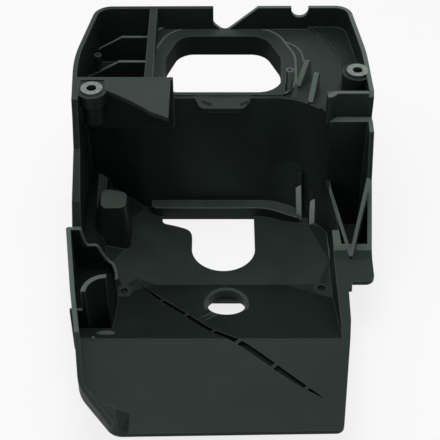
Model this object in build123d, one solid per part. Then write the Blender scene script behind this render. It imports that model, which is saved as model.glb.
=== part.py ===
from build123d import *
import os

# Cylinder cover: one moulding, seen and modelled with its open inner side up.
# X runs across the cover, Y from the low panel to the deep end, Z up.
# Heights are measured from the inside of the trough floor while modelling; the finished
# parts are moved so that the origin is the bottom centre of the cover.

# Walls
wall = 2.5

# Heights
panel_z = 26.0
skirt_z = 32.0
shelf_z = 78.0
rim_z = 93.0
bay_floor_z = 62.5
recess_z = 60.0
collar_z = 66.0
step_z = 6.8
facet_z = 7.0

# Outline, seen from above
near_y = -176.0
far_y = 90.0
left_x = -85.5
right_x = 84.0
panel_left = -50.0
panel_right = 58.0
far_left = -74.0
far_right = 78.0
ledge_x = 82.5
ledge_y = -77.0
strip_x = 70.5
lip_y = -39.5

# Trough
trough_left = -77.0
trough_right = 62.0
flat_half = 36.0
slope_start = -54.0
crease_y = -117.0
cove_radius = 11.0
baffle_base_y = 9.5
baffle_top_y = 18.0
baffle_mid_z = 34.0

# Openings through the floor
port_x = 2.0
port_radius = 18.4
port_y = -24.7
port_far_y = 3.4
plug_x = 3.5
plug_y = -80.5
plug_radius = 10.2
plug_collar = 1.9
plug_collar_z = 12.5
plug_lip = 2.0
screw_radius = 2.15
screw_boss_radius = 4.4
screw_boss_height = 1.2
left_screw = (-53.0, -64.7)
right_screw = (56.5, -62.6)

# Shelf and its opening
disc_x = 10.0
disc_y = 46.0
disc_radius = 60.0
disc_depth = 1.5
land_height = 1.2
bead = 1.4
land_width = 9.0
fin_height = 12.0
mouth_left = -32.0
mouth_right = 36.0
mouth_near = 20.5
mouth_far = 77.5

# Left bay
divider_x = -42.0
divider = 4.5
bay_wall_y = 13.0
bay_wall_end = -26.0
rib = 2.0
bay_ribs = (50.0, 76.0)

# Right pocket
pocket_far = -4.0
pocket_near = -52.0
pocket_slant = 11.0
box_y = 2.6
partition_z = 35.0

# Near left pocket and catch tab
catch_right = -55.5
catch_taper = 5.5
catch_near = -106.0
catch_foot = -88.0
catch_rise = 14.0
tab_x = -58.5
tab_y = -100.5
tab_radius = 11.0
tab_wall = 2.6
tab_z = 43.0

# Bushes and their bosses
bush_bore = 2.75
bush_radius = 4.0
flange_radius = 6.0
flange = 1.2
bush_length = 20.0
boss_radius = 8.3
left_bush = (-70.3, 5.4)
right_bush = (76.8, 22.5)

# Sheet thickness and room used by the cutting shapes
plate = 2.5
reach = 60.0
deep = -30.0
high = 130.0


def outline(*corners):
    """Closed face through (x, y) corners; a third number rounds that corner."""
    face = make_face(Polyline(*[corner[:2] for corner in corners], close=True))
    for corner in corners:
        if len(corner) == 3:
            vertex = face.vertices().sort_by_distance((corner[0], corner[1], 0))[0]
            face = fillet(vertex, corner[2])
    return face


def prism(face, low, top):
    """Upright solid of a plan face between two heights."""
    return extrude(Pos(0, 0, low) * face, top - low, dir=(0, 0, 1))


def along_x(points, x_from, x_to):
    """Solid of a side profile (y, z), carried from one x to another."""
    face = make_face(Polyline(*[(x_from, y, z) for y, z in points], close=True))
    return extrude(face, x_to - x_from, dir=(1, 0, 0))


def along_y(points, y_from, y_to):
    """Solid of a cross profile (x, z), carried from one y to another."""
    face = make_face(Polyline(*[(x, y_from, z) for x, z in points], close=True))
    return extrude(face, y_to - y_from, dir=(0, 1, 0))


def block(x0, x1, y0, y1, z0, z1):
    """Box between two corners."""
    return Pos(x0, y0, z0) * Box(x1 - x0, y1 - y0, z1 - z0, align=Align.MIN)


def post(x, y, radius, z0, z1):
    """Upright round post."""
    return Pos(x, y, z0) * Cylinder(radius, z1 - z0, align=(Align.CENTER, Align.CENTER, Align.MIN))


def plan():
    """Outline of the whole cover."""
    return outline(
        (panel_left, near_y, 9), (panel_right, near_y + 2, 4), (66, crease_y, 120),
        (strip_x, ledge_y), (ledge_x, ledge_y, 5), (right_x, 2, 200), (right_x - 0.5, 40, 150),
        (far_right, far_y, 10), (far_left, far_y - 1, 11), (-83, 34, 120), (-80.2, -6, 60), (-82, lip_y),
        (left_x, lip_y, 1.6), (-78.3, -88, 120), (-73.2, -118, 90), (-68, -152, 22),
    )


def inner_plan():
    """The same outline, one wall further in."""
    return offset(plan(), -wall, kind=Kind.INTERSECTION)


def baffle_face(level, base_y, top_y, back):
    """Trough outline at one level: the far side is the curved baffle."""
    share = level / rim_z
    y = base_y + (top_y - base_y) * share + back
    twist = min(level / baffle_mid_z, 1)
    corner = (trough_right - 1.5 * twist + back, -19 + 17.5 * twist + back * 0.4)
    middle = (49 + 1.5 * twist + back * 0.7, -3 + 13.5 * twist + back * 0.7)
    lines = Polyline(
        corner, (trough_right + 6 * twist + back, pocket_near), (trough_right + back, near_y - 20),
        (-reach * 2, near_y - 20), (-reach * 2, 30 - 12 * share + back),
        (-64, 22 - 5 * share + back), (-46, y), (28, y),
    )
    bend = ThreePointArc((28, y), middle, corner)
    return Pos(0, 0, level) * make_face(lines + bend)


def trough_space(back):
    """Space in front of the baffle, or with the baffle's thickness taken in."""
    levels = (0, baffle_mid_z, rim_z + 5)
    sections = [baffle_face(level, baffle_base_y, baffle_top_y, back) for level in levels]
    space = loft(sections, ruled=True)
    return space + prism(sections[0], deep, 0.01)


def floor_mass(drop):
    """Everything below the floor: two side facets, the slope and the low panel."""
    facets = along_y(
        [(-120, deep), (-120, 9.5 - drop), (-66, facet_z - drop), (-flat_half, -drop),
         (flat_half, -drop), (trough_right, facet_z - drop), (120, facet_z - drop), (120, deep)],
        near_y - 10, far_y + 10,
    )
    ramp = along_x(
        [(near_y - 10, deep), (near_y - 10, panel_z - drop), (crease_y, panel_z - drop),
         (slope_start, -drop), (slope_start, deep)], -120, 120,
    )
    return facets + ramp


def under_rim():
    """Space below the rims of the side skirts, the far walls and the panel edge."""
    left = along_x(
        [(far_y + 10, deep), (far_y + 10, rim_z), (-5, rim_z), (-14, 66), (-33, 44), (lip_y, skirt_z - 1),
         (-60, skirt_z), (-150, skirt_z), (near_y - 10, panel_z + 2), (near_y - 10, deep)], -120, panel_left,
    )
    middle = along_x(
        [(far_y + 10, deep), (far_y + 10, rim_z), (3, rim_z), (-14, 79), (-26, 54), (-55, panel_z + 2),
         (-60, panel_z), (near_y - 10, panel_z), (near_y - 10, deep)], panel_left, 120,
    )
    return left + middle


def cove():
    """Rounded corner between the trough floor and its left wall."""
    x = trough_left
    z = facet_z
    corner = make_face(
        Polyline((x + cove_radius, z + 1), (x + cove_radius, z - 8), (x - 20, z - 8), (x - 20, z + 60),
                 (x, z + 60), (x, z + 1 + cove_radius))
        + RadiusArc((x, z + 1 + cove_radius), (x + cove_radius, z + 1), cove_radius)
    )
    corner = Plane.XZ * corner
    return extrude(Pos(0, lip_y - wall, 0) * corner, 90, dir=(0, 1, 0))


def base_step():
    """Low step along the foot of the baffle."""
    return prism(
        outline((-41, port_far_y, 3), (28, port_far_y, 30), (47, -6), (50, 30), (-41, 30)), deep, step_z
    )


def outer_body():
    """Solid block with the outer form of the cover."""
    shadow = plan()
    low = prism(shadow, deep, high) & trough_space(wall)
    far = prism(shadow & outline((-120, bay_wall_y), (-20, bay_wall_y), (-20, -2), (60, pocket_far),
                                 (120, pocket_far), (120, 120), (-120, 120)), recess_z, high)
    pocket = prism(shadow, deep, high) & along_x(
        [(ledge_y - 5, panel_z - wall), (pocket_near - wall, panel_z - wall),
         (pocket_near + pocket_slant - wall, -wall), (pocket_far + wall, -wall), (pocket_far + wall, shelf_z),
         (ledge_y - 5, shelf_z)], 60, 120)
    catch = prism(shadow, deep, high) & along_x(
        [(catch_near - wall, panel_z), (catch_near - wall, catch_rise), (catch_foot - wall, -wall),
         (lip_y, -wall), (lip_y, skirt_z), (catch_near - wall, skirt_z)], -120, catch_right + wall)
    skin = (low + far) - floor_mass(wall)
    return (skin + pocket + catch) & under_rim()


def trough_cut():
    """Space of the trough between its side walls, above the floor."""
    room = trough_space(0) & prism(
        outline((trough_left, lip_y - wall), (75, lip_y - wall), (75, 60), (trough_left, 60)), deep, high)
    room -= block(-120, bay_wall_end, bay_wall_y, 60, recess_z, high)
    return room - floor_mass(0) - cove() - base_step()


def panel_cut():
    """Space above the slope and the low panel, in front of the lip."""
    room = prism(
        inner_plan() & outline((-120, near_y - 9), (trough_right, near_y - 9), (trough_right, lip_y + 1),
                               (-66, lip_y + 1), (-66, lip_y - wall), (-120, lip_y - wall)), deep, high)
    return room - floor_mass(0)


def near_edge_cut():
    """Opens the near end of the panel, which has no wall."""
    return block(panel_left + 2, trough_right, near_y - 9, near_y + 20, panel_z, high)


def shelf_cut():
    """Space above the shelf and the recess on the far side of it."""
    inside = inner_plan()
    right_part = outline((divider_x + divider, bay_wall_y + wall), (bay_wall_end, bay_wall_y + wall),
                         (bay_wall_end, -20), (58.5, -20), (58.5, box_y), (120, box_y), (120, 120),
                         (divider_x + divider, 120))
    above = prism(inside & right_part, shelf_z + disc_depth, high)
    disc = Pos(disc_x, disc_y) * Circle(disc_radius)
    above += prism(disc & inside & right_part, shelf_z, high)
    below = prism(inside & outline((divider_x + divider, -2), (120, -2 + wall), (120, 120),
                                   (divider_x + divider, 120)), deep, shelf_z - wall)
    below -= trough_space(wall)
    below -= block(60, 120, -20, pocket_far + wall + wall, deep, shelf_z)
    return above + below


def bay_cut():
    """Deep bay on the left, left open at the top, with two low cross ribs."""
    bay = prism(inner_plan() & outline((-120, bay_wall_y + wall), (divider_x, bay_wall_y + wall),
                                       (divider_x, 120), (-120, 120)), bay_floor_z, high)
    for y in bay_ribs:
        bay -= along_y([(divider_x, bay_floor_z), (divider_x, 80), (-59, 80), (-76, 70), (-90, 66),
                        (-90, bay_floor_z)], y - rib / 2, y + rib / 2)
    below = prism(inner_plan() & outline((-120, bay_wall_y + wall), (divider_x + divider - wall, bay_wall_y + wall),
                                         (divider_x + divider - wall, 120), (-120, 120)),
                  deep, bay_floor_z - wall)
    return bay + (below - trough_space(wall))


def pocket_cut():
    """Right pocket beside the baffle and the hollow under the ledge."""
    inside = inner_plan()
    room = outline((63.2, pocket_far), (66.5, pocket_near), (81.5, pocket_near), (81.5, pocket_far))
    pocket = prism(inside & room, 0, high) & along_x(
        [(pocket_near, high), (pocket_near, panel_z), (pocket_near + pocket_slant, 0), (0, 0), (0, high)], 55, 120)
    above = along_x([(pocket_far, partition_z), (-62, 29), (-62, high), (pocket_far, high)], 58, 120)
    above &= prism(inside, 0, high)
    hollow = prism(outline((trough_right + wall, ledge_y), (120, ledge_y), (120, pocket_near - wall),
                           (trough_right + wall, pocket_near - wall)), deep, panel_z - wall)
    strip = prism(outline((trough_right + wall, crease_y - 20), (120, crease_y - 20), (120, ledge_y),
                          (trough_right + wall, ledge_y)), deep, panel_z - wall)
    above_strip = block(57, 120, pocket_far, box_y - wall, shelf_z - 1, high)
    return pocket + above + hollow + strip + above_strip


def catch_cut():
    """Pocket at the near left, in which the catch tab stands."""
    room = inner_plan() & outline((-120, catch_near), (catch_right, catch_near), (catch_right, -76),
                                  (catch_right - catch_taper, lip_y - wall), (-120, lip_y - wall))
    return prism(room, 0, high) & along_x(
        [(catch_near, high), (catch_near, catch_rise + wall), (catch_foot, 0), (0, 0), (0, high)], -120, 0)


def far_wall_notches():
    """V notch and U notch in the far wall."""
    v_notch = Plane.XZ * outline((-4, high), (-4, shelf_z + 4, 4), (3, shelf_z - 2, 4), (23, rim_z), (23, high))
    u_notch = Plane.XZ * (
        outline((43, high), (43, rim_z - 6.5, 5), (53.3, rim_z - 6.5, 5), (53.3, high)))
    cuts = [extrude(Pos(0, far_y - 12, 0) * face, 30, dir=(0, 1, 0)) for face in (v_notch, u_notch)]
    return cuts[0] + cuts[1]


def mouth(grow):
    """Outline of the shelf opening, or of a band around it."""
    face = outline(
        (mouth_left, mouth_near, 8), (mouth_right - 1, mouth_near, 14), (mouth_right, 54, 16),
        (27, mouth_far, 12), (-24, mouth_far, 12), (mouth_left, 54, 16),
    )
    return offset(face, grow, kind=Kind.ARC) if grow else face


def shelf_details():
    """Raised land, bead and collar around the opening, and the flange tab at the shelf edge."""
    inside = outline((divider_x + divider, mouth_near - wall), (120, mouth_near - wall), (120, 84),
                     (divider_x + divider, 84))
    land = prism(mouth(land_width) & inside, shelf_z - 0.5, shelf_z + land_height)
    ring = prism((mouth(land_width) - mouth(land_width - bead)) & inside, shelf_z, shelf_z + land_height + 0.9)
    collar = prism(mouth(wall), collar_z, shelf_z)
    tab = prism(outline((-15, baffle_top_y + 1), (-11, 6.3, 4), (14, 6.3, 4), (18, baffle_top_y + 1)),
                shelf_z - plate, shelf_z + 0.4)
    return land + ring + collar + tab


def upper_plate():
    """Three-cornered plate at rim height beside the left bush."""
    plate_face = make_face(
        Polyline((-37, -16), (-27.4, -21.5), (-27.4, bay_wall_y + 1), (-64, bay_wall_y + 1), (-62.5, 3.5))
        + ThreePointArc((-62.5, 3.5), (-51, -4.2), (-37, -16)))
    return prism(plate_face, rim_z - plate, rim_z)


def box_wall():
    """Wall of the small box over the right pocket."""
    path = outline((right_x - wall - 0.5, box_y), (63, box_y), (58.2, -1.2), (58.9, -3.6), (61, -3.2),
                   (64.4, box_y - wall), (right_x - wall - 0.5, box_y - wall))
    return prism(path, shelf_z - wall, rim_z)


def pocket_ribs():
    """Two thin ribs that run together on the ledge."""
    tip = (71.0, -60.0)
    ribs = Part()
    for start, top, low in (((61.5, -3.0), partition_z, facet_z), ((80.5, -32.0), 60.0, 0.0)):
        dx = tip[0] - start[0]
        dy = tip[1] - start[1]
        length = (dx * dx + dy * dy) ** 0.5
        side = Vector(-dy / length, dx / length) * (rib / 2)
        face = make_face(Polyline(
            (start[0], start[1], low), (start[0], start[1], top), (tip[0], tip[1], panel_z + 2.4),
            (tip[0], tip[1], panel_z - 1), (tip[0] - dx * 0.15, tip[1] - dy * 0.15, low), close=True))
        ribs += extrude(Pos(side.X, side.Y, 0) * face, rib, dir=(-side.X, -side.Y, 0))
    return ribs


def bush_bosses():
    """Posts that hold the two sleeves."""
    top = rim_z - flange
    low = top - bush_length
    left = post(*left_bush, boss_radius, top - 7, top) + post(*left_bush, 6.2, low, top)
    left += block(left_bush[0] - boss_radius - 2, left_bush[0], left_bush[1] - 3, bay_wall_y + 1, low, top)
    left += block(left_bush[0] - 2, left_bush[0] + boss_radius, left_bush[1], bay_wall_y + 1, top - 7, top)
    right = post(*right_bush, boss_radius, shelf_z - wall, top)
    right += post(*right_bush, 6.2, low, top)
    return left + (right & prism(plan(), deep, high))


def raised_block():
    """Hollow raised block on the left of the trough floor."""
    def form(inset):
        low = outline((-76 + inset, -30 + inset, 4), (-51.5 - inset, -30 + inset, 4),
                      (-51.5 - inset, -8 - inset, 4), (-76 + inset, -4 - inset, 4))
        top = outline((-67 + inset, -27 + inset, 4), (-53 - inset, -27 + inset, 4),
                      (-53 - inset, -14 - inset, 4), (-68 + inset, -10 - inset, 4))
        return loft([low, Pos(0, 0, 34 - inset) * top], ruled=True)
    return form(0), form(wall) + block(-73, -52, -28, -9, deep, 0.5)


def catch_tab():
    """Quarter-round catch tab with its small stay to the skirt."""
    ring = post(tab_x, tab_y, tab_radius + tab_wall / 2, -1, tab_z)
    ring -= post(tab_x, tab_y, tab_radius - tab_wall / 2, -2, tab_z + 1)
    tab = ring & block(tab_x - reach, tab_x, tab_y, tab_y + reach, deep, high)
    stay = block(-77.5, tab_x - tab_radius - 0.4, tab_y, tab_y + 1.6, -1, skirt_z - 3)
    return tab + stay


def corner_pad():
    """Raised pad in the near left corner of the panel."""
    pad = prism(outline((-72, -147), (-63, -153.5, 6), (-55.4, -161.6, 4), (-50, -162.6), (-49.5, near_y),
                        (-90, near_y)), panel_z - 1, panel_z + 4)
    side = along_y([(-50, panel_z - 1), (-50, panel_z + 4), (-42.5, panel_z - 0.1), (-42.5, panel_z - 1)],
                   near_y, -164)
    return (pad + side) & prism(plan(), deep, high) & under_rim_pad()


def under_rim_pad():
    """Keeps the pad below the falling rim of the skirt."""
    return along_x([(-140, deep), (-140, skirt_z), (-150, skirt_z - 1), (near_y - 10, panel_z + 1.6),
                    (near_y - 10, deep)], -120, 0)


def fins():
    """Pointed fins and the small tube at the right of the shelf, and the two on the floor."""
    shapes = Part()
    for x, y, run, turn in ((44.2, 26.0, 11.5, 28.0), (50.4, 10.8, 13.5, 16.0)):
        fin = along_x([(0, 0), (0, 1.5), (run, fin_height), (run + 2, fin_height - 1), (run + 4, 0)], -1.5, 1.5)
        shapes += Pos(x, y, shelf_z) * Rot(0, 0, -turn) * fin
    shapes += Pos(42.3, 16.6, shelf_z) * (
        along_y([(-1.7, 0), (0, 10), (0.9, 10), (1.9, 0)], 0, 1.8))
    tube = post(39.0, 22.6, 2.2, shelf_z, rim_z) - post(39.0, 22.6, 1.1, shelf_z + 2, rim_z + 1)
    shapes += tube
    for x, y, top in ((46.6, 7.0, 31.0), (53.4, 0.5, 21.0)):
        web = along_x([(y + 12, 0), (y - 10, 0), (y - 9.5, 4), (y - 1, top - 2), (y, top), (y + 12, top)],
                      x - 1.4, x + 1.4)
        shapes += (web & trough_space(wall / 2)) - floor_mass(wall / 2)
    return shapes


def slit():
    """Curved tapered slit across the slope and the panel, with short bridges left in it."""
    path = [(-46.8, -51, 0.0), (-38.9, -63.2, 1.0), (-31.7, -73.5, 1.4), (-18.0, -91.0, 1.6),
            (-3.6, -109.0, 1.7), (9.1, -119.0, 1.8), (26.7, -135.0, 1.9), (42.1, -148.8, 1.1),
            (51.3, -156.0, 0.0)]
    upper = Spline(*[(x + w * 0.6, y + w * 0.8) for x, y, w in path])
    lower = Spline(*[(x - w * 0.6, y - w * 0.8) for x, y, w in path])
    cut = make_face(upper + lower)
    for x, y, w in (path[2], path[3], path[4], path[5], path[6], path[7]):
        cut -= Pos(x, y) * Rot(0, 0, 45) * Rectangle(8, 1.7)
    return prism(cut, deep, 40)


def plug_ring():
    """Level-topped collar round the plug hole on the slope, with a flat lip at its far side."""
    ring = post(plug_x, plug_y, plug_radius + plug_collar, 0, plug_collar_z) - floor_mass(wall / 2)
    lip = block(plug_x - plug_radius, plug_x + plug_radius, plug_y + plug_radius - plug_lip,
                plug_y + plug_radius + plug_collar / 2, 4, 5.5)
    return ring, lip


def floor_holes():
    """Openings through the floor."""
    port = make_face(
        Polyline((port_x - port_radius, -16), (port_x - port_radius, port_y))
        + ThreePointArc((port_x - port_radius, port_y), (port_x, port_y - port_radius),
                        (port_x + port_radius, port_y))
        + Polyline((port_x + port_radius, port_y), (port_x + port_radius, port_far_y),
                   (-34.5, port_far_y), (-34.5, 0))
        + Spline((-34.5, 0), (-30, -4.2), (-22, -7), (port_x - port_radius, -16), tangents=((0, -1), (0, -1)))
    )
    holes = prism(port, deep, step_z)
    holes += post(plug_x, plug_y, plug_radius, deep, high / 3)
    for x, y in (left_screw, right_screw):
        holes += post(x, y, screw_radius, deep, 30)
    return holes


def build_cover():
    """The whole moulding."""
    body = outer_body()
    body -= trough_cut()
    body -= panel_cut()
    body -= near_edge_cut()
    body -= shelf_cut()
    body -= bay_cut()
    body -= pocket_cut()
    body -= catch_cut()
    body -= far_wall_notches()
    body += shelf_details()
    body -= prism(mouth(0), deep, high)
    body += upper_plate() + box_wall() + pocket_ribs() + bush_bosses()
    block_skin, block_core = raised_block()
    body += block_skin
    body -= block_core
    ring, lip = plug_ring()
    body += ring
    for x, y in (left_screw, right_screw):
        body += post(x, y, screw_boss_radius, 3, facet_z + screw_boss_height - 2)
    body += catch_tab() + corner_pad() + fins()
    body -= floor_holes() + slit()
    body += lip & post(plug_x, plug_y, plug_radius + plug_collar / 2, 0, plug_collar_z)
    for x, y in (left_bush, right_bush):
        body -= post(x, y, bush_radius, collar_z, high) + post(x, y, flange_radius, rim_z - flange, high)
    return body


def build_bush(place):
    """Flanged steel sleeve."""
    sleeve = post(*place, bush_radius, rim_z - flange - bush_length, rim_z - flange)
    sleeve += post(*place, flange_radius, rim_z - flange, rim_z)
    return sleeve - post(*place, bush_bore, deep, high)


def main():
    os.makedirs("parts", exist_ok=True)
    cover = build_cover()
    box = cover.bounding_box()
    shift = Pos(-box.center().X, -box.center().Y, -box.min.Z)
    for name, solid in (("cover", cover), ("bush_left", build_bush(left_bush)),
                        ("bush_right", build_bush(right_bush))):
        export_step(shift * solid, f"parts/{name}.step")


main()
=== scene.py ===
import bmesh
import bpy
import math
import numpy as np
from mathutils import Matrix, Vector
from mathutils.bvhtree import BVHTree


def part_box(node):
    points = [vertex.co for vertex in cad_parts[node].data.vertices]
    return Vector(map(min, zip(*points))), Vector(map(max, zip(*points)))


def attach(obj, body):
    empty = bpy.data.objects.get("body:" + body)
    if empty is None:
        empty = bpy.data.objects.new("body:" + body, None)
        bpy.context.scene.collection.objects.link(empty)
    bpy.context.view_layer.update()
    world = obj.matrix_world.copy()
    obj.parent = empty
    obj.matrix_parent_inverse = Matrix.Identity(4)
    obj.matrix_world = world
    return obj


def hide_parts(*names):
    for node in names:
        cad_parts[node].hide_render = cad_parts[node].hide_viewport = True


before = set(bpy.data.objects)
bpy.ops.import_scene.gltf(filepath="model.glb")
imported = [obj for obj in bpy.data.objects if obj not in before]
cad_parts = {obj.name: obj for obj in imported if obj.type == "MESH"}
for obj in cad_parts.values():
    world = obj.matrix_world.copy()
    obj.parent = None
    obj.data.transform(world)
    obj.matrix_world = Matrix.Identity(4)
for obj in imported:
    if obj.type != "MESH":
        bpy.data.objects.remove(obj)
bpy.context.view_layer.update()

print("frame loaded")

# The moulding was measured in millimetres from a point on its trough floor. The shift leads from
# there to the frame's own zero, in metres, and comes from the left sleeve, which is known in both.
sleeveAt = (-0.0703, 0.0054)
floorThickness = 0.0025
sleeveLow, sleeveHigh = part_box("bush_left")
shift = Vector((
    (sleeveLow.x + sleeveHigh.x) / 2 - sleeveAt[0],
    (sleeveLow.y + sleeveHigh.y) / 2 - sleeveAt[1],
    floorThickness,
))


# Camera: looks at the trough floor from the near side, as the photograph does
cameraView = {
    "distance": 0.660,
    "elevation": 42.5,  # degrees above the horizon
    "lens": 90.0,
    "nearest": 0.01,
    "farthest": 20.0,
}


def makeCamera(s):
    tilt = math.radians(s["elevation"])
    data = bpy.data.cameras.new("photoCamera")
    data.lens = s["lens"]
    data.clip_start = s["nearest"]
    data.clip_end = s["farthest"]
    camera = bpy.data.objects.new("photoCamera", data)
    camera.location = shift + Vector((0, -math.cos(tilt), math.sin(tilt))) * s["distance"]
    camera.rotation_euler = (math.pi / 2 - tilt, 0, 0)
    bpy.context.scene.collection.objects.link(camera)
    bpy.context.scene.camera = camera


makeCamera(cameraView)
print("camera ready")


# Shader maths
class Sig:
    # A node socket that can be used in plain arithmetic
    def __init__(self, tree, socket):
        self.tree = tree
        self.socket = socket

    def math(self, kind, a, b):
        return node(self.tree, "ShaderNodeMath", {"operation": kind}, {0: a, 1: b})

    def __add__(self, other): return self.math("ADD", self, other)
    def __radd__(self, other): return self.math("ADD", other, self)
    def __sub__(self, other): return self.math("SUBTRACT", self, other)
    def __rsub__(self, other): return self.math("SUBTRACT", other, self)
    def __mul__(self, other): return self.math("MULTIPLY", self, other)
    def __rmul__(self, other): return self.math("MULTIPLY", other, self)
    def __pow__(self, other): return self.math("POWER", self, other)

    def clamped(self):
        return node(self.tree, "ShaderNodeClamp", {}, {"Value": self})

    def between(self, low, high):
        # 0 below low, 1 above high, smooth between them
        return node(self.tree, "ShaderNodeMapRange", {"interpolation_type": "SMOOTHSTEP"},
                    {"Value": self, "From Min": low, "From Max": high})


def node(tree, kind, settings, inputs, output=0):
    # One shader node: its settings first, then values or links for its sockets. The closing output nodes
    # have nothing to give back.
    made = tree.nodes.new(kind)
    for name, value in settings.items():
        setattr(made, name, value)
    for name, value in inputs.items():
        if isinstance(value, Sig):
            tree.links.new(value.socket, made.inputs[name])
        else:
            made.inputs[name].default_value = value
    return Sig(tree, made.outputs[output]) if made.outputs else None


def newMaterial(name):
    material = bpy.data.materials.new(name)
    material.use_nodes = True
    tree = material.node_tree
    tree.nodes.clear()
    return material, tree


def mixColour(tree, factor, a, b):
    # The colour a where the factor is 0, b where it is 1
    return node(tree, "ShaderNodeMix", {"data_type": "RGBA"}, {"Factor": factor, 6: a, 7: b}, output=2)


def noise(tree, place, scale, detail=3.0, roughness=0.55):
    return node(tree, "ShaderNodeTexNoise", {}, {
        "Vector": place, "Scale": scale, "Detail": detail, "Roughness": roughness})


def axisOf(tree, vector, axis):
    # One coordinate of a vector: 0 for x, 1 for y, 2 for z
    return node(tree, "ShaderNodeSeparateXYZ", {}, {0: vector}, output=axis)


def finishShader(tree, shader):
    node(tree, "ShaderNodeOutputMaterial", {}, {"Surface": shader})


# Moulded plastic: dark green-black, satin, fine grain, with a painted highlight on narrow rims, and edges
# partly rubbed pale and partly a painted highlight
plasticLook = {
    "colour": (0.0078, 0.0118, 0.0103, 1),
    "dustColour": (0.0140, 0.0200, 0.0176, 1),
    "nearColour": (0.0038, 0.0060, 0.0051, 1),  # darker towards the near end
    "nearEdge": -0.125,
    "farEdge": -0.020,
    # Painted highlight on narrow rims and on the marked regions
    "paintedHighlightColour": (0.082, 0.103, 0.091, 1),
    # Painted shade for the marked gaps and hollows
    "paintedShadeColour": (0.0030, 0.0044, 0.0038, 1),
    # Edge colour: partly rubbed wear, partly a painted highlight
    "edgeWearAndHighlightColour": (0.135, 0.155, 0.145, 1),
    "edgeRadius": 0.0008,
    "edgeTurn": (0.02, 0.30),  # from no edge to a full one
    "edgeWearAndHighlight": 0.85,
    "edgeBase": 0.45,
    "paintedHighlightBase": 0.55,
    "smearShare": 0.9,  # how much the smears break up the worn and highlighted edges and the painted rim highlights
    "cloudSize": 14.0,
    "cloudRange": (0.42, 0.72),
    "cloudDust": 0.55,
    "smearSize": 60.0,
    "smearRange": (0.5, 0.8),
    "smearDust": 0.2,
    "roughness": 0.50,
    "cloudRoughness": 0.16,
    "smearRoughness": 0.10,
    "grainRoughness": 0.06,
    "paintedShadeRoughness": 0.45,
    "specular": 0.14,
    "specularTint": (0.70, 1.0, 0.87, 1),
    "ior": 1.5,
    "grainSize": 1500.0,
    "grainDepth": 0.00002,
    "grainStrength": 0.35,
}


def makePlastic(name, s):
    # A face attribute of painted light steers it: above 0 a painted highlight, -1 no worn or highlighted
    # edge, below -1 painted shade
    material, tree = newMaterial(name)
    place = node(tree, "ShaderNodeTexCoord", {}, {}, output="Object")
    rim = node(tree, "ShaderNodeAttribute", {"attribute_name": "paintedLightMark"}, {}, output="Fac")
    cloud = noise(tree, place, s["cloudSize"], detail=4.0)
    smear = noise(tree, place, s["smearSize"])
    grain = noise(tree, place, s["grainSize"], detail=2.0, roughness=0.6)

    # An edge is where the rounded normal turns away from the plain one
    rounded = node(tree, "ShaderNodeBevel", {"samples": 4}, {"Radius": s["edgeRadius"]})
    plain = node(tree, "ShaderNodeNewGeometry", {}, {}, output="Normal")
    sameWay = node(tree, "ShaderNodeVectorMath", {"operation": "DOT_PRODUCT"}, {0: rounded, 1: plain},
                   output="Value")
    patches = smear * s["smearShare"]
    wearAndHighlight = (s["edgeBase"] + patches).clamped() * (1.0 + rim).clamped()
    edge = (1.0 - sameWay).between(*s["edgeTurn"]) * wearAndHighlight

    dust = (cloud.between(*s["cloudRange"]) * s["cloudDust"]
            + smear.between(*s["smearRange"]) * s["smearDust"])
    colour = mixColour(tree, dust, s["colour"], s["dustColour"])
    away = axisOf(tree, place, 1).between(s["nearEdge"], s["farEdge"])
    colour = mixColour(tree, away, s["nearColour"], colour)
    # Edges: partly rubbed wear, partly a painted highlight
    colour = mixColour(tree, edge * s["edgeWearAndHighlight"], colour, s["edgeWearAndHighlightColour"])
    # Painted highlight where the mark is above 0
    colour = mixColour(tree, (rim * (s["paintedHighlightBase"] + patches)).clamped(), colour, s["paintedHighlightColour"])
    # Painted shade where the mark is below -1, and rougher there
    paintedShade = (-1.0 - rim).clamped()
    colour = mixColour(tree, paintedShade, colour, s["paintedShadeColour"])

    rough = s["roughness"] + paintedShade * s["paintedShadeRoughness"]
    for pattern, share in ((cloud, "cloudRoughness"), (smear, "smearRoughness"), (grain, "grainRoughness")):
        rough = rough + (pattern - 0.5) * s[share]
    bump = node(tree, "ShaderNodeBump", {}, {
        "Strength": s["grainStrength"], "Distance": s["grainDepth"], "Height": grain, "Normal": rounded})
    shader = node(tree, "ShaderNodeBsdfPrincipled", {}, {
        "Base Color": colour, "Roughness": rough.clamped(), "Normal": bump,
        "Specular IOR Level": s["specular"], "Specular Tint": s["specularTint"], "IOR": s["ior"]})
    finishShader(tree, shader)
    return material


# Sleeve steel: pale turned metal with a fine lathe pattern
steelLook = {
    "colour": (0.175, 0.21, 0.192, 1),
    "dullColour": (0.115, 0.135, 0.125, 1),
    "stainSize": 420.0,
    "stainRange": (0.40, 0.75),
    "roughness": 0.42,
    "stainRoughness": 0.3,
    "ringRate": 26000.0,  # radians of the lathe pattern to a metre of radius
    "ringDepth": 0.00002,
    "ringStrength": 0.25,
}


def makeSteel(name, s, centre):
    material, tree = newMaterial(name)
    place = node(tree, "ShaderNodeTexCoord", {}, {}, output="Object")
    local = node(tree, "ShaderNodeVectorMath", {"operation": "SUBTRACT"}, {0: place, 1: tuple(centre)})
    x = axisOf(tree, local, 0)
    y = axisOf(tree, local, 1)
    radius = (x * x + y * y) ** 0.5
    rings = node(tree, "ShaderNodeMath", {"operation": "SINE"}, {0: radius * s["ringRate"]})
    stain = noise(tree, place, s["stainSize"])
    colour = mixColour(tree, stain.between(*s["stainRange"]), s["colour"], s["dullColour"])
    rough = s["roughness"] + (stain - 0.5) * s["stainRoughness"]
    bump = node(tree, "ShaderNodeBump", {}, {
        "Strength": s["ringStrength"], "Distance": s["ringDepth"], "Height": rings})
    shader = node(tree, "ShaderNodeBsdfPrincipled", {}, {
        "Base Color": colour, "Metallic": 1.0, "Roughness": rough.clamped(), "Normal": bump})
    finishShader(tree, shader)
    return material
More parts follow.
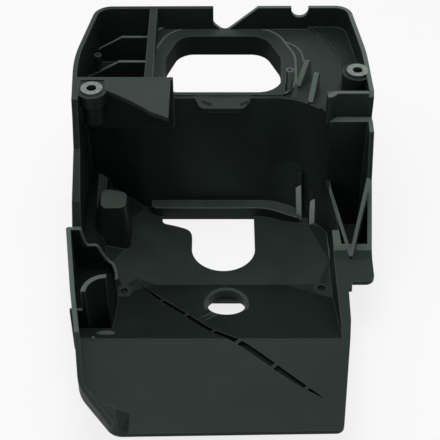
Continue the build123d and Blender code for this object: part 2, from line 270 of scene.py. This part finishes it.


# The same plastic darkened with painted shade deep in a gap, and lightened with a painted highlight on ribs
paintedShadeLook = dict(plasticLook, colour=(0.0012, 0.0017, 0.0015, 1), dustColour=(0.002, 0.003, 0.0026, 1),
                  specular=0.1)
paintedHighlightLook = dict(plasticLook, colour=(0.24, 0.28, 0.26, 1), dustColour=(0.16, 0.19, 0.175, 1))
plastic = makePlastic("mouldedPlastic", plasticLook)
paintedShadePlastic = makePlastic("paintedShadePlastic", paintedShadeLook)
paintedHighlightPlastic = makePlastic("paintedHighlightPlastic", paintedHighlightLook)
print("materials ready")


def pick(piece):
    # Puts the piece into the scene as the one that operators work on
    bpy.context.scene.collection.objects.link(piece)
    bpy.context.view_layer.objects.active = piece
    bpy.ops.object.select_all(action="DESELECT")
    piece.select_set(True)


def dress(piece, material):
    piece.data.materials.clear()
    piece.data.materials.append(material)
    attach(piece, "root")
    return piece


# The moulding: the frame's own form, with its loose triangles joined so that curves shade smoothly
skinShape = {
    "join": 0.000005,  # metres
    "sharp": 19.0,  # degrees
}


def makeSkin(name, source, s):
    # The same surface as the source, vertices joined, every edge under the sharp angle shaded smooth
    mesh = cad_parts[source].data.copy()
    mesh.name = name
    piece = bpy.data.objects.new(name, mesh)
    pick(piece)
    bpy.ops.object.mode_set(mode="EDIT")
    bpy.ops.mesh.select_all(action="SELECT")
    bpy.ops.mesh.remove_doubles(threshold=s["join"])
    bpy.ops.object.mode_set(mode="OBJECT")
    if mesh.has_custom_normals:
        bpy.ops.mesh.customdata_custom_splitnormals_clear()
    bpy.ops.object.shade_smooth_by_angle(angle=math.radians(s["sharp"]))
    return piece


# Narrow level faces (rims, rib tops, beads) get a painted highlight, and the listed regions get painted light
# or painted shade of their own
rimPlan = {
    "turn": 0.9999,  # neighbours whose normals agree this far lie in one flat region
    "upward": 0.6,  # least upward part of a rim's normal
    "width": 0.0036,  # metres
    "strength": 1.0,
    "regions": (
        # middle, half size, lowest upward part of the normal, strength (above 0 painted light, -1 no worn or
        # highlighted edge, below -1 painted shade), by whole flat regions
        ((-65.0, -33.0, 35.0), (9.0, 16.0, 12.0), 0.5, 0.55, True),  # raised block, painted highlight on its top
        ((0.0, 6.0, 6.9), (60.0, 12.0, 0.8), 0.8, 0.45, True),  # low step under the curved wall, painted highlight
        ((50.0, 12.0, 34.0), (13.0, 20.0, 25.0), -1.0, -1.0, False),  # right end of the curved wall, no worn or highlighted edge
        ((-73.0, -22.0, 24.0), (5.5, 26.0, 21.0), -1.0, -1.7, False),  # gap beside the raised block, painted shade
        ((-45.0, 0.0, 93.0), (26.0, 24.0, 1.5), 0.6, 0.22, False),  # triangular plate, painted light
        ((0.0, -25.0, 1.5), (75.0, 29.0, 4.0), 0.85, 0.17, False),  # trough floor, painted light
        ((10.0, 50.0, 77.9), (72.0, 46.0, 1.4), 0.8, 0.14, False),  # shelf, painted light
        ((-53.0, -64.7, 6.0), (6.0, 6.0, 9.0), -1.0, 0.12, False),  # left screw hole, faint painted highlight
        ((56.5, -62.6, 5.0), (6.0, 6.0, 9.0), -1.0, 0.12, False),  # right screw hole, faint painted highlight
        ((72.0, -55.0, 23.5), (16.0, 16.0, 3.9), 0.5, 0.0, False),  # right ledge, no painted highlight
        ((-80.0, 30.0, 80.0), (10.0, 70.0, 30.0), 0.6, 0.2, False),  # left rim, softer painted highlight
        ((-65.0, -150.0, 30.0), (20.0, 32.0, 10.0), 0.5, 0.06, False),  # near left corner, faint painted highlight
        ((-69.5, -75.5, 0.0), (12.0, 33.0, 1.2), 0.6, -1.9, False),  # near left pocket, floor, painted shade
        ((-59.5, -65.0, 0.0), (3.2, 26.0, 12.0), -0.2, -1.8, False),  # near left pocket, side, painted shade
        ((47.0, 28.0, 88.4), (9.0, 18.0, 8.0), -1.0, 1.0, False),  # fins on the shelf, painted highlight
        ((3.5, -80.5, 10.0), (13.0, 13.0, 9.0), 0.3, 0.30, False),  # collar of the plug hole, painted highlight
        ((2.0, 49.0, 68.0), (38.0, 31.0, 9.0), -1.0, -1.75, False),  # wall of the shelf opening, painted shade
        ((0.0, -147.0, 26.0), (30.0, 18.0, 2.5), 0.8, 0.13, True),  # low panel, painted light
    ),
}


def readAll(items, name, width):
    # One property of every face or vertex, a row for each
    values = np.empty(len(items) * width)
    items.foreach_get(name, values)
    return values.reshape(-1, width)


def flatRegions(mesh, normals, turn):
    # Joins neighbours that lie in one plane. Gives each face its region's number, and each region the
    # length of its outline.
    corners = readAll(mesh.vertices, "co", 3)
    owner = list(range(len(mesh.polygons)))

    def find(i):
        while owner[i] != i:
            owner[i] = owner[owner[i]]
            i = owner[i]
        return i

    sides = {}
    for face in mesh.polygons:
        for key in face.edge_keys:
            sides.setdefault(key, []).append(face.index)
    outer = []
    for key, faces in sides.items():
        if len(faces) == 2 and normals[faces[0]] @ normals[faces[1]] > turn:
            owner[find(faces[0])] = find(faces[1])
        else:
            outer.append((key, faces))
    outline = np.zeros(len(owner))
    for (a, b), faces in outer:
        for face in faces:
            outline[find(face)] += np.linalg.norm(corners[a] - corners[b])
    return np.array([find(i) for i in range(len(owner))]), outline


def markRims(piece, s):
    # A flat region's width is taken as twice its area over its outline's length
    mesh = piece.data
    normals = readAll(mesh.polygons, "normal", 3)
    areas = readAll(mesh.polygons, "area", 1)
    centres = (readAll(mesh.polygons, "center", 3) - np.array(shift)) * 1000
    region, outline = flatRegions(mesh, normals, s["turn"])
    area = np.zeros_like(areas)
    np.add.at(area, region, areas)
    weighted = np.zeros_like(centres)
    np.add.at(weighted, region, centres * areas)
    regionCentres = weighted[region] / area[region]
    width = 2 * area[region, 0] / np.maximum(outline[region], 1e-9)
    # Narrow upward regions get the painted highlight, the listed regions their own painted light or shade
    paintedLightLevel = np.where((width < s["width"]) & (normals[:, 2] > s["upward"]), s["strength"], 0.0)
    for middle, half, upward, strength, whole in s["regions"]:
        spots = regionCentres if whole else centres
        paintedLightLevel[np.all(np.abs(spots - middle) < half, axis=1) & (normals[:, 2] > upward)] = strength
    mesh.attributes.new("paintedLightMark", "FLOAT", "FACE").data.foreach_set("value", paintedLightLevel)


skin = dress(makeSkin("mouldedCover", "cover", skinShape), plastic)
markRims(skin, rimPlan)
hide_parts("cover")
for bushName in ("bush_left", "bush_right"):
    low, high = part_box(bushName)
    bush = dress(makeSkin(bushName + "Sleeve", bushName, skinShape),
                 makeSteel(bushName + "Steel", steelLook, (low + high) / 2))
    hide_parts(bushName)
print("moulding and sleeves ready")


# Added pieces: points are in millimetres from the trough floor, as the moulding was measured
skinTree = BVHTree.FromObject(skin, bpy.context.evaluated_depsgraph_get())
above = {"trough": 60.0, "shelf": 92.0}  # where the rays that look for a surface start


def toFrame(points):
    # Millimetres from the trough floor to metres in the frame
    return np.asarray(points, float) / 1000 + np.array(shift)


def heightAt(x, y, start):
    # Height of the moulding's upper surface, found by a ray straight down
    hit = skinTree.ray_cast(Vector(toFrame((x, y, start))), Vector((0, 0, -1)))
    return None if hit[0] is None else (hit[0].z - shift.z) * 1000


def makePiece(name, shells, paintedLightLevel, material, smooth=30.0):
    # One mesh of all the closed shells, with one value of painted light for its faces
    faces, start = [], 0
    for points, sides in shells:
        faces += (sides[0] + start).tolist() + [(cap + start).tolist() for cap in sides[1:]]
        start += len(points)
    mesh = bpy.data.meshes.new(name)
    mesh.from_pydata(toFrame(np.concatenate([points for points, sides in shells])).tolist(), [], faces)
    hull = bmesh.new()
    hull.from_mesh(mesh)
    bmesh.ops.recalc_face_normals(hull, faces=hull.faces)  # every closed shell faces outwards
    hull.to_mesh(mesh)
    hull.free()
    mesh.attributes.new("paintedLightMark", "FLOAT", "FACE").data.foreach_set("value", np.full(len(faces), paintedLightLevel))
    piece = bpy.data.objects.new(name, mesh)
    pick(piece)
    bpy.ops.object.shade_smooth_by_angle(angle=math.radians(smooth))
    return dress(piece, material)


def stack(rings):
    # Rings of the same count, each joined to the next by a band of four-sided faces, both ends capped
    rings = np.asarray(rings, float)
    grid = np.arange(rings.shape[0] * rings.shape[1]).reshape(rings.shape[:2])
    after = np.roll(grid, -1, axis=1)
    bands = np.stack([grid[:-1], after[:-1], after[1:], grid[1:]], axis=-1).reshape(-1, 4)
    return rings.reshape(-1, 3), (bands, grid[0][::-1], grid[-1])


def circle(sides):
    # Points at even turns: the cosine and the sine of the turn, level
    turn = np.linspace(0, 2 * np.pi, sides, endpoint=False)
    return np.stack([np.cos(turn), np.sin(turn), np.zeros(sides)], axis=1)


def turned(middle, profile, sides):
    # A (radius, height) profile turned about the upright axis through the middle
    return stack([np.add(middle, (0, 0, height)) + radius * circle(sides) for radius, height in profile])


# Bottom of the tapered groove: a ribbon along the groove's own line, low in the wall, dark with painted shade
grooveLine = {
    "path": (  # x, y, half width
        (-46.8, -51, 0.3), (-38.9, -63.2, 1.0), (-31.7, -73.5, 1.4), (-18.0, -91.0, 1.6), (-3.6, -109.0, 1.7),
        (9.1, -119.0, 1.8), (26.7, -135.0, 1.9), (42.1, -148.8, 1.1), (51.3, -156.0, 0.3),
    ),
    "steps": 90,
    "side": (0.6, 0.8),  # across the groove
    "spread": 1.35,
    "grow": 0.5,
    "top": 1.9,  # below the surface
    "bottom": 2.3,
    "beside": 5.0,  # how far out the surface's height is taken
}


def makeGroove(s):
    # Even steps along the path's straight runs. Across each one the ribbon follows the line between the
    # surface's heights on both sides, lowered to its own top and bottom.
    path = np.array(s["path"])
    along = np.concatenate([[0], np.cumsum(np.linalg.norm(np.diff(path[:, :2], axis=0), axis=1))])
    steps = np.linspace(0, along[-1], s["steps"])
    x, y, half = (np.interp(steps, along, path[:, i]) for i in range(3))
    sideX, sideY = s["side"]
    beside = s["beside"]
    heights = [[heightAt(px + sideX * d, py + sideY * d, above["trough"]) for d in (-beside, beside)]
               for px, py in zip(x, y)]
    left, right = np.array([(0.0, 0.0) if None in pair else pair for pair in heights]).T
    lean = (right - left) / (2 * beside)
    reach = (half * s["spread"] + s["grow"])[:, None] * (-1, 1, 1, -1)
    drop = np.array([s["top"], s["top"], s["bottom"], s["bottom"]])
    level = ((left + right) / 2)[:, None] + lean[:, None] * reach - drop
    rings = np.stack([x[:, None] + sideX * reach, y[:, None] + sideY * reach, level], axis=-1)
    return makePiece("grooveBottom", [stack(rings)], 0.0, paintedShadePlastic)


# Two flat beads at the foot of the catch, each half a rounded lens that stands on the slope, with a painted
# highlight at half strength
catchBeads = {
    # place, half length, half width, rise
    "beads": (((-58.4, -111.6), 5.2, 2.0, 1.0), ((-64.2, -117.0), 1.4, 1.4, 1.2)),
    "sink": 0.4,
    "around": 20,
    "levels": 6,
    "lastTurn": 1.5,  # radians, just short of the crown
    "paintedLightLevel": 0.5,
    "smooth": 60.0,
}


def makeCatchBeads(s):
    # Each level is an oval that shrinks by the cosine of a turn, and rises by its sine
    shells = []
    for (x, y), halfLength, halfWidth, rise in s["beads"]:
        foot = heightAt(x, y, above["trough"]) - s["sink"]
        shells.append(stack([
            circle(s["around"]) * (halfLength * math.cos(a), halfWidth * math.cos(a), 0)
            + (x, y, foot + (rise + s["sink"]) * math.sin(a))
            for a in np.linspace(0, s["lastTurn"], s["levels"])]))
    return makePiece("catchBeads", shells, s["paintedLightLevel"], plastic, s["smooth"])


# Rolled lips: round beads that lie half sunk along a line of points, with a full painted highlight
lipPlan = {
    "steps": 8,
    "sides": 10,
    "upright": (0.0, 0.3, 0.954),  # leans to the far side
    "paintedLightLevel": 1.0,
    "smooth": 50.0,
    "lips": (
        # name, radius, line
        ("pocketLip", 0.95, (
            (-77.4, -41.2, 31.0), (-76.2, -41.5, 24.0), (-74.4, -41.6, 19.2), (-69.2, -41.6, 18.6),
            (-66.4, -41.8, 12.5), (-63.6, -42.2, 7.6), (-61.0, -43.8, 6.6), (-59.6, -46.6, 6.2),
            (-58.4, -50.5, 5.8), (-57.8, -56.0, 5.6))),
        ("shelfBead", 0.75, (
            (37.9, 73.6, 78.1), (42.5, 70.3, 78.1), (45.9, 66.6, 78.1), (48.0, 61.8, 78.1),
            (48.9, 56.6, 78.1), (48.9, 50.3, 78.1))),
        ("stepBead", 0.4, (
            (-38.5, 3.35, 6.8), (-10.0, 3.35, 6.8), (21.0, 3.35, 6.8), (27.8, 2.55, 6.8),
            (34.3, 0.25, 6.8), (46.0, -5.5, 6.8))),
    ),
}


def smoothLine(points, steps):
    # Each stretch between two points is a cubic whose ends lean along their neighbours
    points = np.array(points)
    ends = np.concatenate([[2 * points[0] - points[1]], points, [2 * points[-1] - points[-2]]])
    a, b, c, d = (ends[i:len(ends) - 3 + i, None] for i in range(4))
    t = (np.arange(steps) / steps)[:, None]
    line = b + 0.5 * t * (c - a + t * (2 * a - 5 * b + 4 * c - d + t * (3 * b - 3 * c + d - a)))
    return np.concatenate([line.reshape(-1, 3), points[-1:]])


def unit(vectors):
    # Each row over its own length
    return vectors / np.linalg.norm(vectors, axis=1, keepdims=True)


def makeLips(s):
    # A circle carried along the line, square to it: its cosine goes across, its sine upwards
    cosine, sine = circle(s["sides"]).T[:2, None, :, None]
    for name, radius, points in s["lips"]:
        line = smoothLine(points, s["steps"])
        ahead = unit(np.gradient(line, axis=0))
        across = unit(np.cross(ahead, s["upright"]))
        up = np.cross(across, ahead)
        rings = line[:, None] + radius * (cosine * across[:, None] + sine * up[:, None])
        makePiece(name, [stack(rings)], s["paintedLightLevel"], plastic, s["smooth"])


# Short hollow post in the left bay
bayPost = {
    "place": (-71.5, 52.6, 0.0),
    "profile": ((2.3, 61.9), (2.3, 82.7), (2.0, 83.0), (1.0, 83.0), (1.0, 80.0)),  # radius, height
    "sides": 28,
}


def makeBayPost(s):
    # The side, bevelled top and inner well, turned about the post's axis
    return makePiece("bayPost", [turned(s["place"], s["profile"], s["sides"])], 0.0, plastic)


# Marks on the tab at the shelf opening: two slanted slots of painted shade, set just over its top
tabMarks = {
    "slots": (
        ((-10.7, 14.6), (-10.6, 11.6), (-6.1, 8.2), (-3.4, 10.6)),
        ((16.8, 14.2), (9.5, 10.2), (12.2, 8.2), (16.7, 11.4)),
    ),
    "over": 0.06,
    "depth": 0.5,
}


def makeTabMarks(s):
    # Each slot's outline at two heights, just under and just over the tab's top
    shells = []
    for slot in np.array(s["slots"]):
        level = heightAt(*slot.mean(axis=0), above["shelf"])
        shells.append(stack([np.insert(slot, 2, level + lift, axis=1) for lift in (-s["depth"], s["over"])]))
    return makePiece("tabSlots", shells, 0.0, paintedShadePlastic)


# Two leaning blades at the foot of the curved wall, pale with a painted highlight
bladePlan = {
    "blades": (
        # foot x, top x, half width, side outline in (y, z)
        (47.3, 46.1, 1.55, ((4.0, 0.0), (-3.6, 0.0), (-3.6, 2.8), (2.0, 20.6), (3.6, 24.8), (4.2, 24.0))),
        (54.1, 54.3, 1.65, ((1.0, 0.0), (-9.6, 0.0), (-9.6, 2.8), (-3.6, 15.6), (-1.8, 18.6), (-0.6, 18.0))),
    ),
    "tip": 6.0,  # the part of a blade that counts as its tip
    "tipDrop": 2.2,  # how much lower the tip is on the left side
}


def makeBlades(s):
    # The outline leans in x with its height, and stands half a width to each side of that lean
    shells = []
    for footX, topX, half, outline in s["blades"]:
        y, z = np.array(outline).T
        x = footX + (topX - footX) * z / z.max()
        drop = np.where(z > z.max() - s["tip"], s["tipDrop"], 0.0)
        shells.append(stack([np.stack([x - half, y, z - drop], axis=1), np.stack([x + half, y, z], axis=1)]))
    return makePiece("wallBlades", shells, 0.0, paintedHighlightPlastic)


# Blind floors of the two screw holes: a dish with a small pit, turned about the hole's axis, dark with
# painted shade
screwSeat = {
    "places": ((-53.0, -64.7), (56.5, -62.6)),
    "profile": ((2.5, -2.2), (2.5, -1.2), (1.6, -1.2), (1.0, -0.6), (0.5, -0.6), (0.4, -1.6)),
    "sides": 24,
    "around": 3.4,  # how far out the surface's height is taken
}


def makeScrewSeats(s):
    # The seat lies below the lowest of four heights around the hole
    shells = []
    for x, y in s["places"]:
        heights = [heightAt(x + dx, y + dy, above["trough"]) for dx, dy in s["around"] * circle(4)[:, :2]]
        level = min([height for height in heights if height is not None] or [0.0])
        shells.append(turned((x, y, level), s["profile"], s["sides"]))
    return makePiece("screwSeats", shells, 0.0, paintedShadePlastic)


makeGroove(grooveLine)
makeCatchBeads(catchBeads)
makeLips(lipPlan)
makeBayPost(bayPost)
makeTabMarks(tabMarks)
makeBlades(bladePlan)
makeScrewSeats(screwSeat)
print("added pieces ready")


# Floor and room: both white where they are seen, and the room lights the cover most from behind and above
stageLook = {
    "floorHalf": 6.0,
    "floorDrop": 0.0002,
    "floorColour": (0.86, 0.86, 0.86, 1),
    "floorRoughness": 0.9,
    "glow": 0.80,  # the rest of the floor's look is its lit surface, which holds the shadow
    "ambient": 0.64,
    "dim": 0.80,
    "brightWay": (0.74, 0.67),  # y and z of the way to the bright side
    "brightRange": (-0.1, 1.0),
}
white = (1, 1, 1, 1)


def backgroundSeen(tree):
    # 1 for the rays that see the white background, 0 for the rays that only carry light
    camera, glossy, through = (node(tree, "ShaderNodeLightPath", {}, {}, output=name) for name in (
        "Is Camera Ray", "Is Glossy Ray", "Is Transmission Ray"))
    return (camera + glossy + through).clamped()


def makeFloor(s):
    # A wide level square just under the cover, part lit and part white
    half = s["floorHalf"]
    mesh = bpy.data.meshes.new("floor")
    mesh.from_pydata([(-half, -half, 0), (half, -half, 0), (half, half, 0), (-half, half, 0)], [],
                     [(0, 1, 2, 3)])
    floor = bpy.data.objects.new("floor", mesh)
    bpy.context.scene.collection.objects.link(floor)
    floor.location.z = -s["floorDrop"]
    material, tree = newMaterial("paleFloor")
    lit = node(tree, "ShaderNodeBsdfPrincipled", {}, {
        "Base Color": s["floorColour"], "Roughness": s["floorRoughness"]})
    glow = node(tree, "ShaderNodeEmission", {}, {"Color": white, "Strength": 1.0})
    finishShader(tree, node(tree, "ShaderNodeMixShader", {}, {
        0: backgroundSeen(tree) * s["glow"], 1: lit, 2: glow}))
    mesh.materials.append(material)


def makeRoom(s):
    # Light from all round, brighter along brightWay
    world = bpy.data.worlds.new("softWorld")
    world.use_nodes = True
    tree = world.node_tree
    tree.nodes.clear()
    way = node(tree, "ShaderNodeTexCoord", {}, {}, output="Generated")
    behind = axisOf(tree, way, 1) * s["brightWay"][0] + axisOf(tree, way, 2) * s["brightWay"][1]
    room = s["dim"] + behind.between(*s["brightRange"]) * (1.0 - s["dim"])
    seen = backgroundSeen(tree)
    strength = seen + (1.0 - seen) * room * s["ambient"]
    sky = node(tree, "ShaderNodeBackground", {}, {"Color": white, "Strength": strength})
    node(tree, "ShaderNodeOutputWorld", {}, {"Surface": sky})
    bpy.context.scene.world = world


# Soft panels of light
lampPlan = (
    # name, place, aim, size x, size y, watts
    ("topPanel", (-0.03, 0.03, 0.50), (0, 0, 0.03), 0.30, 0.26, 0.95),
    ("backPanel", (0.0, 0.60, 0.60), (0, 0.02, 0.03), 0.6, 0.4, 0.3),
    ("leftFill", (-0.75, -0.10, 0.55), (0, 0, 0.03), 0.4, 0.6, 0.4),
)


def makeLamps(plan):
    for name, place, aim, sizeX, sizeY, watts in plan:
        data = bpy.data.lights.new(name, "AREA")
        data.shape = "RECTANGLE"
        data.size = sizeX
        data.size_y = sizeY
        data.energy = watts
        lamp = bpy.data.objects.new(name, data)
        lamp.location = place
        lamp.rotation_euler = (Vector(aim) - Vector(place)).to_track_quat("-Z", "Y").to_euler()
        bpy.context.scene.collection.objects.link(lamp)


makeFloor(stageLook)
makeRoom(stageLook)
makeLamps(lampPlan)
bpy.context.scene.view_settings.view_transform = "Standard"
print("stage and lamps ready")
